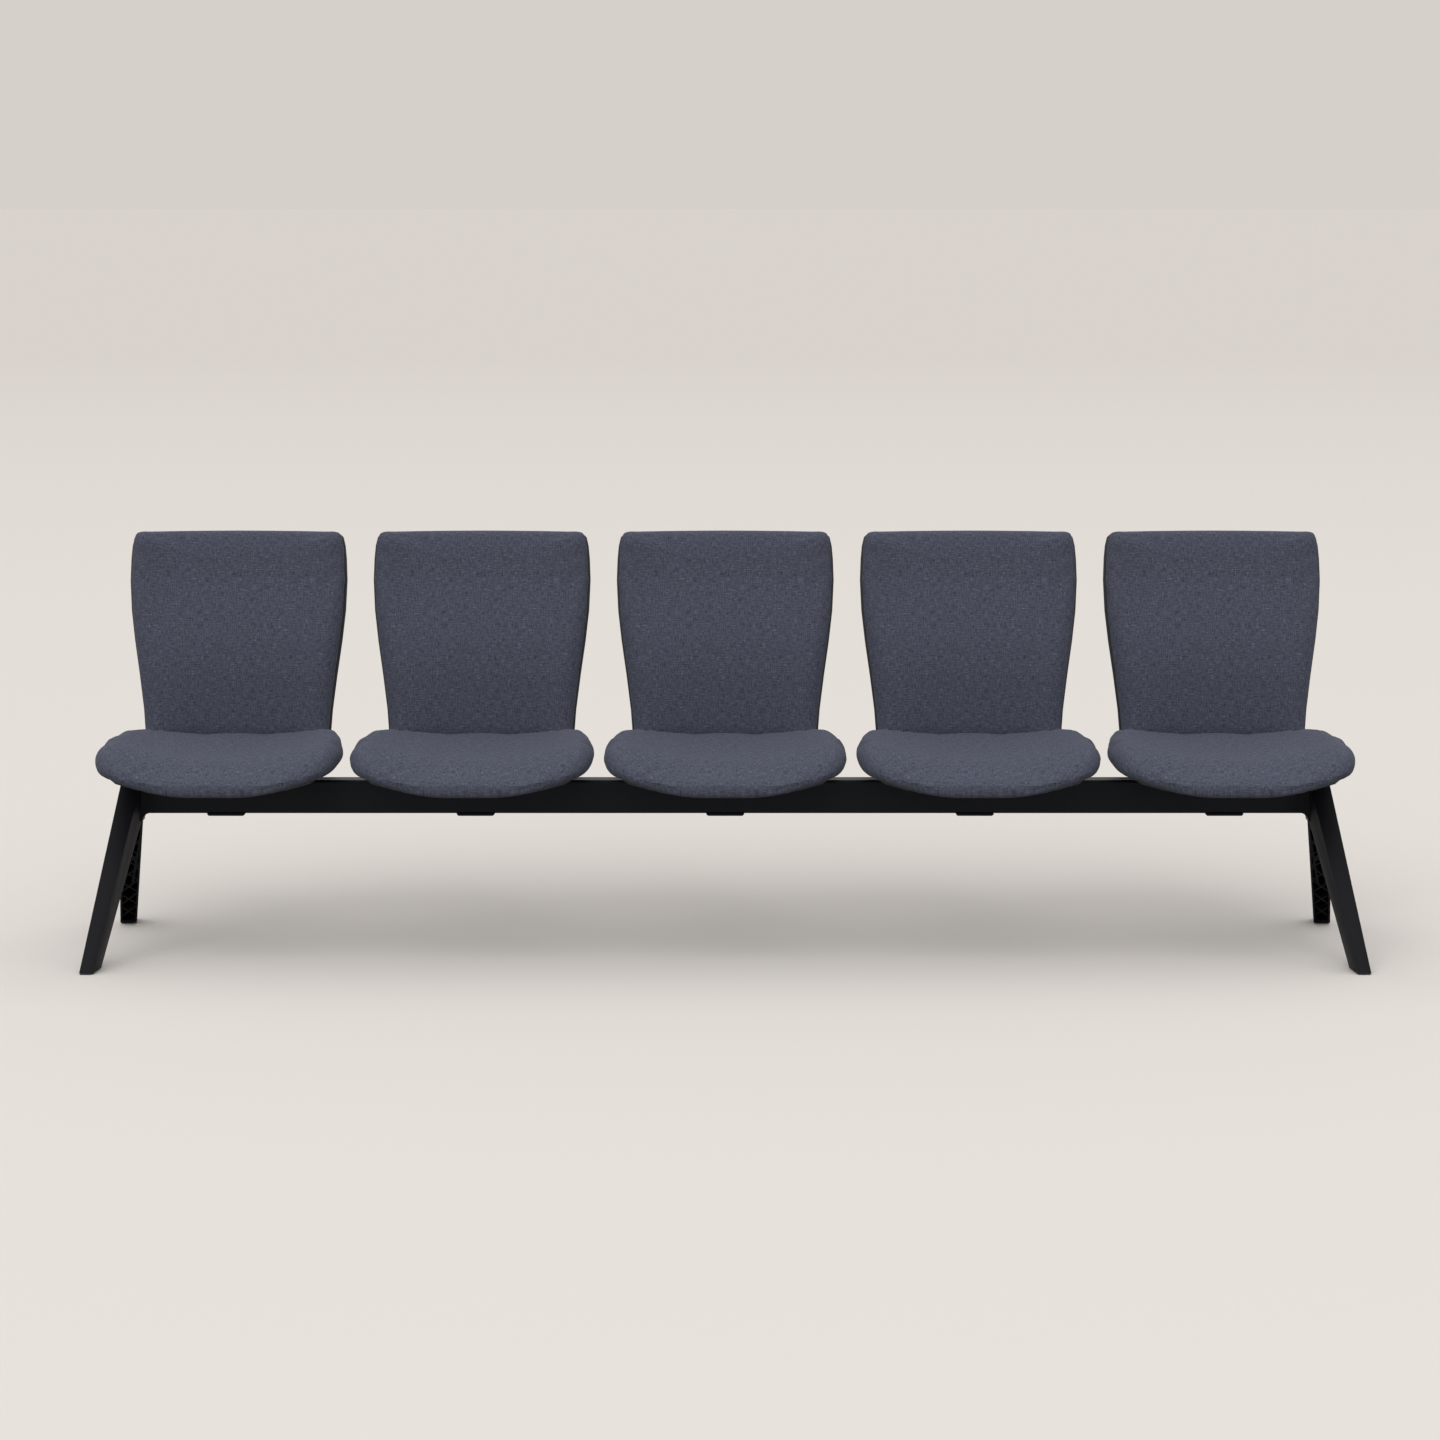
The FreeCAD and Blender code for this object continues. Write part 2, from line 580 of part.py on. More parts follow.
for number in numbers:
    carrier = new_body(f"seat_carrier_{number}")
    right = [(ARM_OUT, f"-{FRONT_OUT}"), (ARM_OUT, f"-{FRONT_IN}"),
             (WAIST, f"-({FRONT_IN} - {SPLAY} / 2)"), (WAIST, f"{REAR_IN} - {SPLAY} / 2"),
             (ARM_OUT, REAR_IN), (ARM_OUT, REAR_OUT)]
    left = [(f"-({x})", y) for x, y in reversed(right)]
    spider = grow(carrier, f"spider_{number}", polygon(carrier, f"spider_outline_{number}", "XY_Plane",
                                                       right + left, BEAM_TOP), "Size.carrier_thickness")
    tips = edges_where(spider.Shape, lambda e: runs_along(e, UP)
                       and abs(abs(e.CenterOfMass.x) - measure(ARM_OUT)) < 1e-3)
    bevel(carrier, f"spider_tips_{number}", spider, tips, "Size.carrier_arm / 5")
    for name, near, far in (("front", f"-{LIP}", f"-{LIP} - Size.carrier_lip_wall"),
                            ("rear", LIP, f"{LIP} + Size.carrier_lip_wall")):
        lip = rectangle(carrier, f"{name}_lip_{number}", "XY_Plane", f"-{WAIST}", near, WAIST, far, BEAM_TOP)
        grow(carrier, f"{name}_lip_pad_{number}", lip, "Size.carrier_lip", down=True)
    for name, side in (("left", "-1"), ("right", "1")):
        rib = rectangle(carrier, f"{name}_front_rib_{number}", "XY_Plane", f"{side} * {RIB_IN}",
                        f"-({LIP} + Size.carrier_lip_wall)", f"{side} * ({RIB_IN} + Size.carrier_rib)",
                        "-Size.carrier_front", BEAM_TOP)
        grow(carrier, f"{name}_front_rib_pad_{number}", rib, "Size.carrier_rib_depth", down=True)
        rib = rectangle(carrier, f"{name}_rear_rib_{number}", "XY_Plane", f"{side} * {RIB_IN}",
                        f"{LIP} + Size.carrier_lip_wall", f"{side} * ({RIB_IN} + Size.carrier_rib)",
                        REAR_OUT, BEAM_TOP)
        grow(carrier, f"{name}_rear_rib_pad_{number}", rib, "Size.carrier_rib_depth", down=True)
    for name, centres, width in (("clamp", CLAMP_BOLT, CLAMP_HOLE),
                                 ("upright", UPRIGHT_BOLTS, UPRIGHT_HOLE)):
        outline = squares(carrier, f"{name}_holes_{number}", "XY_Plane", centres, width, BEAM_TOP)
        cut(carrier, f"{name}_punch_{number}", outline, both_ways=True)
    put(carrier, seat_x(number))

# uprights: a flat steel bar, bent once, from under the carrier up the back of each shell
LEAN = "(Size.back_lean * 1 deg)"
BACK_Y = f"(Size.seat_rear + Size.back_seat_gap - Size.back_below_seat * tan({LEAN}))"
BACK_Z = f"({SEAT_TOP} - Size.back_below_seat)"
SHELL_REAR = "(Size.back_foam + Size.running_gap + Size.shell_wall + Size.running_gap)"
FACE_Y = f"({BACK_Y} + {SHELL_REAR} * cos({LEAN}))"
FACE_Z = f"({BACK_Z} - {SHELL_REAR} * sin({LEAN}))"


def bar_point(along, through):
    """A point of the bar's upright run, so far up the back and so far behind its front face."""
    return (f"{FACE_Y} + ({along}) * sin({LEAN}) + ({through}) * cos({LEAN})",
            f"{FACE_Z} + ({along}) * cos({LEAN}) - ({through}) * sin({LEAN})")


def bar_knee(height, through):
    """Where the upright run's face, so far behind the front one, meets a level."""
    return (f"{FACE_Y} + ({through}) / cos({LEAN}) + ({height} - {FACE_Z}) * tan({LEAN})", height)


for number in numbers:
    upright = new_body(f"back_upright_{number}")
    bar_bottom = f"{BEAM_TOP} - Size.upright_thickness"
    side = polygon(upright, f"bar_outline_{number}", "YZ_Plane", [
        ("Size.upright_start", bar_bottom), bar_knee(bar_bottom, "Size.upright_thickness"),
        bar_point("Size.upright_length", "Size.upright_thickness"), bar_point("Size.upright_length", "0"),
        bar_knee(BEAM_TOP, "0"), ("Size.upright_start", BEAM_TOP)])
    bar = grow(upright, f"bar_{number}", side, "Size.upright_width", both_ways=True)
    inner = V(0, *(measure(value) for value in bar_knee(BEAM_TOP, "0")))
    outer = V(0, *(measure(value) for value in bar_knee(bar_bottom, "Size.upright_thickness")))
    for name, knee, radius in (("inner", inner, "Size.upright_bend"),
                               ("outer", outer, "Size.upright_bend + Size.upright_thickness")):
        at_knee = edges_where(bar.Shape, lambda e: runs_along(e, X_AXIS)
                              and (e.CenterOfMass - knee).Length < 1e-3)
        bar = round_off(upright, f"{name}_bend_{number}", bar, at_knee, radius)
    top = V(0, *(measure(v) for v in bar_point("Size.upright_length", "Size.upright_thickness / 2")))
    shoulders = edges_where(bar.Shape, lambda e: isinstance(e.Curve, Part.Line)
                            and abs(e.Length - measure("Size.upright_thickness")) < 1e-3
                            and abs(e.CenterOfMass.z - top.z) < 1e-3)
    bar = bevel(upright, f"bar_shoulders_{number}", bar, shoulders, "Size.upright_width / 5")
    outline = squares(upright, f"bar_holes_{number}", "XY_Plane", UPRIGHT_BOLTS, UPRIGHT_HOLE, BEAM_TOP)
    cut(upright, f"bar_punch_{number}", outline, "2 * Size.upright_thickness")
    put(upright, seat_x(number))


# upholstery: pads and the shells behind them, lofted through rings. Each line of a ring runs the same
# way in every ring, only longer or shorter, so that each strip between two rings is a flat face.

SIDE_STEPS = 6
END_TURNS = (0, 35, 62)


def half_line(level, rise, slopes, start, stop=None):
    """Right half of a dished line: a flat middle, then a strip for each slope, up to a place.

    The line is shaped for its full reach, start; stop, where given, ends its last strip earlier.
    """
    turns = [math.radians(slope) for slope in slopes]
    length = rise / sum(math.sin(turn) for turn in turns)
    x = start - length * sum(math.cos(turn) for turn in turns)
    points = [(x, level)]
    if x <= 0:
        raise RuntimeError("a dished line has no flat middle left")
    for turn in turns:
        points.append((points[-1][0] + length * math.cos(turn), points[-1][1] + length * math.sin(turn)))
    if stop is not None:
        back = start - stop
        points[-1] = (start - back, points[-1][1] - back * math.tan(turns[-1]))
    return points


def ring(y, upper, lower, side_steps):
    """A closed ring from the right halves of its upper and lower lines, with rounded sides."""
    (start, high), (_, low) = upper[-1], lower[-1]
    reach = (high - low) / 2
    turns = [math.pi * step / side_steps for step in range(1, side_steps)]
    side = [(start + reach * math.sin(turn), low + reach * (1 + math.cos(turn))) for turn in turns]
    right = upper + side + lower[::-1]
    return [V(x, y, z) for x, z in right] + [V(-x, y, z) for x, z in reversed(right)]


def flat_loft(rings):
    """A solid through rings of points, closed by a flat face at each end."""
    faces = [Part.Face(Part.makePolygon(end + end[:1])) for end in (rings[0], rings[-1])]
    for near, far in zip(rings, rings[1:]):
        for a, b, c, d in zip(near, near[1:] + near[:1], far[1:] + far[:1], far):
            faces.append(Part.Face(Part.makePolygon([a, b, c, d, a])))
    solid = Part.Solid(Part.Shell(faces))
    if solid.Volume < 0:
        solid.reverse()
    return solid


def stations(front, rear, radius, shares):
    """Places of the rings from end to end, with how far each end's rounding draws them in there."""
    ends = [(radius * (1 - math.cos(math.radians(turn))), radius * (1 - math.sin(math.radians(turn))))
            for turn in END_TURNS]
    return ([(front + off, drawn) for off, drawn in ends]
            + [(front + share * (rear - front), 0) for share in shares]
            + [(rear - off, drawn) for off, drawn in reversed(ends)])


def pad_ring(y, drawn, half_width, upper, lower, upper_slopes, lower_slopes):
    """A ring of foam, with upper and lower given as the middle's level and the rise to the sides."""
    (top, top_rise), (bottom, bottom_rise) = upper, lower
    start = half_width - (top + top_rise - bottom - bottom_rise) / 2
    return ring(y, half_line(top - drawn, top_rise, upper_slopes, start),
                half_line(bottom + drawn, bottom_rise, lower_slopes, start), SIDE_STEPS)


def shell_ring(y, half_width, stop, upper, lower, wall, slopes):
    """A ring of a plate that follows the lower face of the foam's ring, a running gap away."""
    (top, top_rise), (bottom, bottom_rise) = upper, lower
    start = half_width - (top + top_rise - bottom - bottom_rise) / 2
    level = bottom - measure("Size.running_gap")
    return ring(y, half_line(level, bottom_rise, slopes, start, stop),
                half_line(level - wall, bottom_rise, slopes, start, stop), 1)


# seat pad and pan
SEAT_SHARES = (0.06, 0.12, 0.19, 0.26, 0.48, 0.70, 0.83, 0.91, 0.955)
SEAT_SLOPES, PAN_SLOPES = (8, 15), (6, 16)
SQUARENESS = 5                        # power of the superellipse that the pad's plan follows


def seat_section(y):
    """Half width, upper line and lower line of the seat pad at a place from front to rear."""
    front, rear = -measure("Size.seat_front"), measure("Size.seat_rear")
    middle, half = (front + rear) / 2, (rear - front) / 2
    full = measure("Size.seat_width") / 2
    narrowed = measure("Size.seat_taper") * max(0, (y - middle) / half)
    along = abs((y - middle) / (1.03 * half))
    half_width = (full - narrowed) * (1 - along ** SQUARENESS) ** (1 / SQUARENESS)
    share = (half_width / full) ** 2
    bend = (max(0, front + measure("Size.seat_fall_length") - y) / measure("Size.seat_fall_length")) ** 2
    crest, foam = measure(SEAT_TOP), measure("Size.seat_foam")
    upper = (crest - measure("Size.seat_fall") * bend, measure("Size.seat_dish") * share)
    lower = (crest - foam - measure("Size.seat_lip") * bend,
             (measure("Size.seat_dish - Size.seat_roll + Size.seat_foam")
              + measure("Size.seat_lip_rise") * bend) * share)
    return half_width, upper, lower


seat_stations = stations(-measure("Size.seat_front"), measure("Size.seat_rear"),
                         measure("Size.seat_end_round"), SEAT_SHARES)
seat_foam = flat_loft([pad_ring(y, drawn, *seat_section(y), SEAT_SLOPES, PAN_SLOPES)
                       for y, drawn in seat_stations])
pan_wall = measure("Size.pan_thickness")
pan_rings = []
for y, drawn in seat_stations:
    if drawn == 0:
        half_width, upper, lower = seat_section(y)
        pan_rings.append(shell_ring(y, half_width, half_width - measure("Size.pan_inset"), upper, lower,
                                    pan_wall, PAN_SLOPES))
posts = []
for x, y in SEAT_POSTS:
    width, foot = measure("Size.pan_post"), measure(CARRIER_TOP)
    height = measure(f"{SEAT_TOP} - Size.seat_foam - Size.running_gap - Size.pan_thickness / 2") - foot
    posts.append(Part.makeBox(width, width, height, V(measure(x) - width / 2, measure(y) - width / 2, foot)))
seat_pan = flat_loft(pan_rings).fuse(posts)

# back pad and shell, drawn lying on their backs and stood up by the lean
BACK_SHARES = (0.06, 0.18, 0.34, 0.5, 0.64, 0.78, 0.88, 0.94)
BACK_SLOPES = (4, 9)


def back_section(y):
    """Half width, front line and rear line of the back pad at a height along the lean."""
    widest, height = measure("Size.back_widest"), measure("Size.back_height")
    full, foot = measure("Size.back_width") / 2, measure("Size.back_foot_width") / 2
    if y < widest:
        share = y / widest
        half_width = foot + (full - foot) * (3 - 2 * share) * share ** 2
    else:
        share = (y - widest) / (height - widest)
        half_width = full - (full - measure("Size.back_top_width") / 2) * share ** 2
    swell = measure("Size.back_lumbar") * math.sin(math.pi * min(1, y / (0.75 * height)))
    curl = measure("Size.back_curl")
    return half_width, (swell, curl), (-measure("Size.back_foam"), curl)


back_height, rim = measure("Size.back_height"), measure("Size.back_rim")
foam_rings = []
for y, drawn in stations(rim, back_height - rim, measure("Size.back_end_round"), BACK_SHARES):
    half_width, upper, lower = back_section(y)
    foam_rings.append(pad_ring(y, drawn, half_width - rim, upper, lower, BACK_SLOPES, BACK_SLOPES))
back_foam = flat_loft(foam_rings)
shell_rings = []
for y, drawn in stations(0, back_height, measure("Size.shell_corner"), BACK_SHARES):
    half_width, upper, lower = back_section(y)
    shell_rings.append(shell_ring(y, half_width, half_width - drawn, (0, upper[1]), lower,
                                  measure("Size.shell_wall"), BACK_SLOPES))
back_shell = flat_loft(shell_rings)

lean_turn = 90 - measure("Size.back_lean")
for number in numbers:
    free_shape(f"seat_cushion_{number}", seat_foam, seat_x(number))
    free_shape(f"seat_pan_{number}", seat_pan, seat_x(number))
    free_shape(f"back_cushion_{number}", back_foam, seat_x(number), BACK_Y, BACK_Z, lean_turn)
    free_shape(f"back_shell_{number}", back_shell, seat_x(number), BACK_Y, BACK_Z, lean_turn)

# fasteners, each kind one node


def along_seats(centres, height, turn=FreeCAD.Rotation()):
    """The same places at every seat."""
    return [FreeCAD.Placement(V(measure(seat_x(number)) + measure(x), measure(y), measure(height)), turn)
            for number in numbers for x, y in centres]


END_BEYOND_NUT = 2
# a square stud, welded flush into each clamp plate, so that nothing shows under the beam
stud_length = measure("Size.carrier_thickness + Size.beam_height + Size.clamp_thickness"
                      f" + {NUT_TALL} * Size.clamp_bolt + {END_BEYOND_NUT}")
group("clamp_bolts", prism(4, measure("Size.clamp_bolt"), stud_length),
      along_seats(CLAMP_BOLT, CLAMP_BOTTOM))
group("clamp_nuts", nut(measure("Size.clamp_bolt")), along_seats(CLAMP_BOLT, CARRIER_TOP))
upright_length = measure("Size.carrier_thickness + Size.upright_thickness"
                         f" + {NUT_TALL} * Size.upright_bolt + {END_BEYOND_NUT}")
group("upright_bolts", square_necked_bolt(measure("Size.upright_bolt"), upright_length),
      along_seats(UPRIGHT_BOLTS, CARRIER_TOP))
group("upright_nuts", nut(measure("Size.upright_bolt")),
      along_seats(UPRIGHT_BOLTS, f"{BEAM_TOP} - Size.upright_thickness - {NUT_TALL} * Size.upright_bolt"))
leg_bolt_places = [
    FreeCAD.Placement(V(sign * (measure(BEAM_LENGTH) - measure("Size.spigot_length")) / 2,
                        measure("Size.beam_depth / 2"), measure(LEG_BOLT_HEIGHT)),
                      FreeCAD.Rotation(X_AXIS, -90)) for sign in (-1, 1)]
group("leg_bolts", hexagon_bolt(measure("Size.leg_bolt"), measure("Size.beam_wall + Size.spigot_wall")),
      leg_bolt_places)

helpers = ("leg_profile", "leg_stub", "pockets", "rib_zone")
pieces = [piece for piece in doc.Objects if piece.TypeId in ("PartDesign::Body", "Part::Feature")
          and piece.Label not in helpers]
doc.recompute()
for piece in doc.Objects:
    if {"Invalid", "Error"} & set(piece.State):
        raise RuntimeError(f"{piece.Label} failed: {piece.State}")
for piece in pieces:
    if piece.Shape.isNull() or not piece.Shape.isValid() or not piece.Shape.Solids:
        raise RuntimeError(f"{piece.Label} has no sound shape")

os.makedirs("parts", exist_ok=True)
for piece in pieces:
    piece.Shape.exportStep(os.path.join("parts", piece.Label + ".step"))
print(len(pieces), "pieces written")
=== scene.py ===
# %% [markdown]
# # Beam seating, five places
# A waiting-room bench: a steel beam on two cast legs, with five upholstered seats and backs. The
# machined and cast pieces come from the CAD frame at their real size. Blender adds what CAD leaves
# out: cloth over foam, broken edges on steel and castings, small screws, and the finish of every
# surface. All lengths are in metres, X runs along the beam, and a sitter faces -Y.

# %% Load the frame
import math

import bpy
from mathutils import Matrix, Vector


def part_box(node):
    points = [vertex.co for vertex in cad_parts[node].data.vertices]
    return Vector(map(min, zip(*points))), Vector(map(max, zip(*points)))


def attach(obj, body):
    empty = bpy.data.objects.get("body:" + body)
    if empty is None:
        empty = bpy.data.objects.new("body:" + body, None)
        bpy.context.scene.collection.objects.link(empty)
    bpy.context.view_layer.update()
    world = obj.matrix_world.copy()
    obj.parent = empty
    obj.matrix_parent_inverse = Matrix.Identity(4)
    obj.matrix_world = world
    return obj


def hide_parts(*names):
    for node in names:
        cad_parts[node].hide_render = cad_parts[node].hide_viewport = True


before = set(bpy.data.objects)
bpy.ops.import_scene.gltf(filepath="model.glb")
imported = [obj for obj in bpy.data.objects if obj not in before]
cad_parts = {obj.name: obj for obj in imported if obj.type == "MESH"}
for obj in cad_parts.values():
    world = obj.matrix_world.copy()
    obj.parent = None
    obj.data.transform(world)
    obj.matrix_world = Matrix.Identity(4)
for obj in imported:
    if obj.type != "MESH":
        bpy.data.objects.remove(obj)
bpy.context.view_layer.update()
MM = 0.001
SEATS = range(1, 6)

# %% [markdown]
# ## Selecting
# Operators act on whatever is selected, and the imported CAD pieces arrive selected. So every
# step starts from an empty selection and picks its own object.

# %% Selecting
def pick(piece):
    """Make one object the only selected and active one, in object mode."""
    if bpy.context.object and bpy.context.object.mode != "OBJECT":
        bpy.ops.object.mode_set(mode="OBJECT")
    bpy.ops.object.select_all(action="DESELECT")
    piece.select_set(True)
    bpy.context.view_layer.objects.active = piece
    return piece


def apply(piece, name):
    pick(piece)
    bpy.ops.object.modifier_apply(modifier=name)


def settle(piece):
    """Move an object's place, turn and scale into its mesh."""
    pick(piece)
    bpy.ops.object.transform_apply(location=True, rotation=True, scale=True)


# %% [markdown]
# ## Colours and nodes
# Colours are written as a screen shows them, in hex, and Blender's shaders want them linear. One
# function turns them, and one adds a node with its settings and links.

# %% Colours and nodes
def linear(hex_colour):
    """sRGB hex to the linear RGBA that shader sockets hold."""
    parts = [int(hex_colour[i:i + 2], 16) / 255 for i in (0, 2, 4)]
    return [c / 12.92 if c <= 0.04045 else ((c + 0.055) / 1.055) ** 2.4 for c in parts] + [1.0]


def node(material, kind, links=None, inputs=None, **settings):
    """Add a node: links maps its input names to sockets, inputs to values, the rest are settings."""
    made = material.node_tree.nodes.new("ShaderNode" + kind)
    for key, value in settings.items():
        setattr(made, key, value)
    for key, value in (inputs or {}).items():
        made.inputs[key].default_value = value
    for key, socket in (links or {}).items():
        material.node_tree.links.new(socket, made.inputs[key])
    return made


def new_material(name, coordinates="Object"):
    """An empty material, and the socket of the coordinates that its textures use."""
    material = bpy.data.materials.new(name)
    material.use_nodes = True
    material.node_tree.nodes.clear()
    return material, node(material, "TexCoord").outputs[coordinates]


def finish_surface(material, **links_and_values):
    """A principled shader whose arguments are sockets to link or values to set."""
    links, inputs = {}, {}
    for key, value in links_and_values.items():
        group = links if isinstance(value, bpy.types.NodeSocket) else inputs
        group[key.replace("_", " ")] = value
    shader = node(material, "BsdfPrincipled", links, inputs)
    node(material, "OutputMaterial", {"Surface": shader.outputs["BSDF"]})
    return material


def blend_colours(material, factor, first, second):
    """First colour where the factor is 0, second where it is 1; a colour is hex or a socket."""
    mix = node(material, "Mix", data_type="RGBA")
    material.node_tree.links.new(factor, mix.inputs["Factor"])
    for key, colour in (("A", first), ("B", second)):
        socket = [s for s in mix.inputs if s.name == key and s.type == "RGBA"][0]
        if isinstance(colour, str):
            socket.default_value = linear(colour)
        else:
            material.node_tree.links.new(colour, socket)
    return [s for s in mix.outputs if s.type == "RGBA"][0]


# %% [markdown]
# ## Powder coat
# The beam, plates and bars are steel with a fine matt black powder coat: charged powder baked to a
# skin of tiny soft bumps. It is a dielectric, so metallic is 0, and its sheen is a wide dull
# highlight. The legs and carriers carry the same coat over a sand-cast skin, whose grain is coarser
# and whose tone varies a little over a hand's width.

# %% Powder coat
CLOUD_SIZE = 1 / 9


def powder_coat(name, colour, light_colour, grain_mm, bump_mm, roughness, specular):
    material, place = new_material(name)
    cloud = node(material, "TexNoise", {"Vector": place}, {"Scale": 1 / CLOUD_SIZE, "Detail": 3.0})
    tone = blend_colours(material, cloud.outputs["Fac"], colour, light_colour)
    grain = node(material, "TexNoise", {"Vector": place}, {"Scale": 1 / (grain_mm * MM), "Detail": 2.0})
    bump = node(material, "Bump", {"Height": grain.outputs["Fac"]},
                {"Strength": 0.5, "Distance": bump_mm * MM})
    return finish_surface(material, Base_Color=tone, Normal=bump.outputs["Normal"], Roughness=roughness,
                          Specular_IOR_Level=specular)


steel_coat = powder_coat("matt black powder-coated steel", "12161c", "171b21", 1.1, 0.05, 0.5, 0.14)
cast_coat = powder_coat("matt black powder-coated cast aluminium", "0c0d12", "101116", 2.2, 0.12, 0.55,
                        0.12)

# %% [markdown]
# ## Moulded plastics and fasteners
# Pan and shell are injection-moulded polypropylene with a fine spark-eroded grain. The glides are
# smooth nylon. Bolts and nuts are black-oxidised steel: a metal, so metallic is 1 and the colour is
# that of the thin oxide.

# %% Moulded plastics and fasteners
WORN_COLOUR = "2a2b2e"


def moulded_plastic(name, colour, grain_mm, roughness):
    material, place = new_material(name)
    grain = node(material, "TexVoronoi", {"Vector": place}, {"Scale": 1 / (grain_mm * MM)})
    bump = node(material, "Bump", {"Height": grain.outputs["Distance"]},
                {"Strength": 0.35, "Distance": 0.06 * MM})
    wear = node(material, "TexNoise", {"Vector": place}, {"Scale": 40.0, "Detail": 4.0})
    tone = blend_colours(material, wear.outputs["Fac"], colour, WORN_COLOUR)
    return finish_surface(material, Base_Color=tone, Normal=bump.outputs["Normal"], Roughness=roughness,
                          IOR=1.49)


polypropylene = moulded_plastic("grained black polypropylene", "1b1c1e", 1.3, 0.6)
nylon = moulded_plastic("black nylon", "161618", 3.0, 0.42)


def black_oxide():
    material, place = new_material("black-oxidised steel")
    stain = node(material, "TexNoise", {"Vector": place}, {"Scale": 260.0, "Detail": 3.0})
    tone = blend_colours(material, stain.outputs["Fac"], "2b2c2f", "45464a")
    return finish_surface(material, Base_Color=tone, Metallic=1.0, Roughness=0.42)


oxide = black_oxide()

# %% [markdown]
# ## Woven cover
# The cover is a plain weave of melange yarn: fibres of several dark blues and greys spun together,
# so single threads come out lighter or darker along their length, with now and then a pale slub. The
# threads are about 1 mm apart. That is finer than a picture of the whole bench can show, so the
# relief of the weave is drawn at 1.8 mm. The picture does show the yarn's streaks, which are longer
# than they are wide. They need a direction on the cloth, so each cover has a UV map in metres that
# runs across and up the pad.

# %% Woven cover
THREAD_MM = 1.8
STREAK_MM, SLUB_MM = (2.2, 14.0), (2.6, 11.0)
WAVES_PER_UNIT = 20 / (2 * math.pi)


def streaks(material, cloth, size_mm, turned, seed):
    """Noise stretched along one set of threads; the size is its width and its length."""
    width, length = size_mm if turned else reversed(size_mm)
    scale = (1 / (width * MM), 1 / (length * MM), 1.0)
    stretched = node(material, "Mapping", {"Vector": cloth},
                     {"Scale": scale, "Location": (seed, seed, seed)})
    return node(material, "TexNoise", {"Vector": stretched.outputs["Vector"]},
                {"Scale": 1.0, "Detail": 2.0, "Roughness": 0.6}).outputs["Fac"]


def woven_cover(name, dark, middle, pale):
    material, cloth = new_material(name, "UV")
    weft = streaks(material, cloth, STREAK_MM, False, 3.0)
    warp = streaks(material, cloth, STREAK_MM, True, 11.0)
    yarn = node(material, "Math", {0: weft, 1: warp}, operation="ADD").outputs[0]
    spread = node(material, "MapRange", {"Value": yarn}, {"From Min": 0.72, "From Max": 1.28}).outputs[0]
    tone = blend_colours(material, spread, dark, middle)
    slub = streaks(material, cloth, SLUB_MM, False, 29.0)
    few = node(material, "MapRange", {"Value": slub},
               {"From Min": 0.63, "From Max": 0.74, "To Max": 0.55}).outputs[0]
    tone = blend_colours(material, few, tone, pale)
    threads = []
    for turn in (0, 90):
        turned = node(material, "Mapping", {"Vector": cloth}, {"Rotation": (0, 0, math.radians(turn))})
        threads.append(node(material, "TexWave", {"Vector": turned.outputs["Vector"]},
                            {"Scale": 1 / (WAVES_PER_UNIT * THREAD_MM * MM)}).outputs["Fac"])
    weave = node(material, "Math", {0: threads[0], 1: threads[1]}, operation="MULTIPLY").outputs[0]
    relief = node(material, "Bump", {"Height": weave}, {"Strength": 0.2, "Distance": 0.2 * MM})
    fluff = node(material, "Bump", {"Height": yarn, "Normal": relief.outputs["Normal"]},
                 {"Strength": 0.3, "Distance": 0.3 * MM})
    return finish_surface(material, Base_Color=tone, Normal=fluff.outputs["Normal"], Roughness=0.92,
                          Sheen_Weight=0.08, Sheen_Roughness=0.5, Sheen_Tint=linear("b9bfcc"),
                          Specular_IOR_Level=0.1)


cover_cloth = woven_cover("charcoal blue melange weave", "383b48", "5d616f", "9599a6")

# %% [markdown]
# ## Broken edges
# No steel plate or casting has a knife edge. A copy of each CAD piece has its loose triangles
# merged and its flat faces made whole, and then a Bevel modifier rounds each sharp edge by what the
# real process leaves: about 1 mm on a casting, less on cut steel and moulded plastic.

# %% Broken edges
SHARP = math.radians(28)
ALMOST_FLAT = math.radians(0.5)
WELD = 0.002 * MM
LIP_TUCK = 9 * MM


def copy_of(cad_name, name):
    """A merged copy of a CAD piece's mesh, as an object of its own."""
    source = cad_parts[cad_name]
    piece = bpy.data.objects.new(name, source.data.copy())
    bpy.context.scene.collection.objects.link(piece)
    piece.data.materials.clear()
    pick(piece)
    bpy.ops.object.mode_set(mode="EDIT")
    bpy.ops.mesh.select_all(action="SELECT")
    bpy.ops.mesh.remove_doubles(threshold=WELD)
    bpy.ops.object.mode_set(mode="OBJECT")
    return piece


def finished(piece, cad_names, material):
    """Give a piece its material, and let it stand for its CAD nodes."""
    piece.data.materials.clear()
    piece.data.materials.append(material)
    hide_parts(*cad_names)
    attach(piece, "root")
    return piece


def break_edges(cad_name, name, radius_mm, material):
    piece = copy_of(cad_name, name)
    bpy.ops.object.mode_set(mode="EDIT")
    bpy.ops.mesh.select_all(action="SELECT")
    bpy.ops.mesh.dissolve_limited(angle_limit=ALMOST_FLAT)
    bpy.ops.object.mode_set(mode="OBJECT")
    bevel = piece.modifiers.new("edges", "BEVEL")
    bevel.width, bevel.segments = radius_mm * MM, 2
    bevel.limit_method, bevel.angle_limit = "ANGLE", SHARP
    bevel.harden_normals = False
    apply(piece, "edges")
    bpy.ops.object.shade_smooth_by_angle(angle=SHARP)
    return finished(piece, [cad_name], material)


def ease(value, low, high):
    """0 below low, 1 above high, and a smooth run between them."""
    share = min(1, max(0, (value - low) / (high - low)))
    return share * share * (3 - 2 * share)


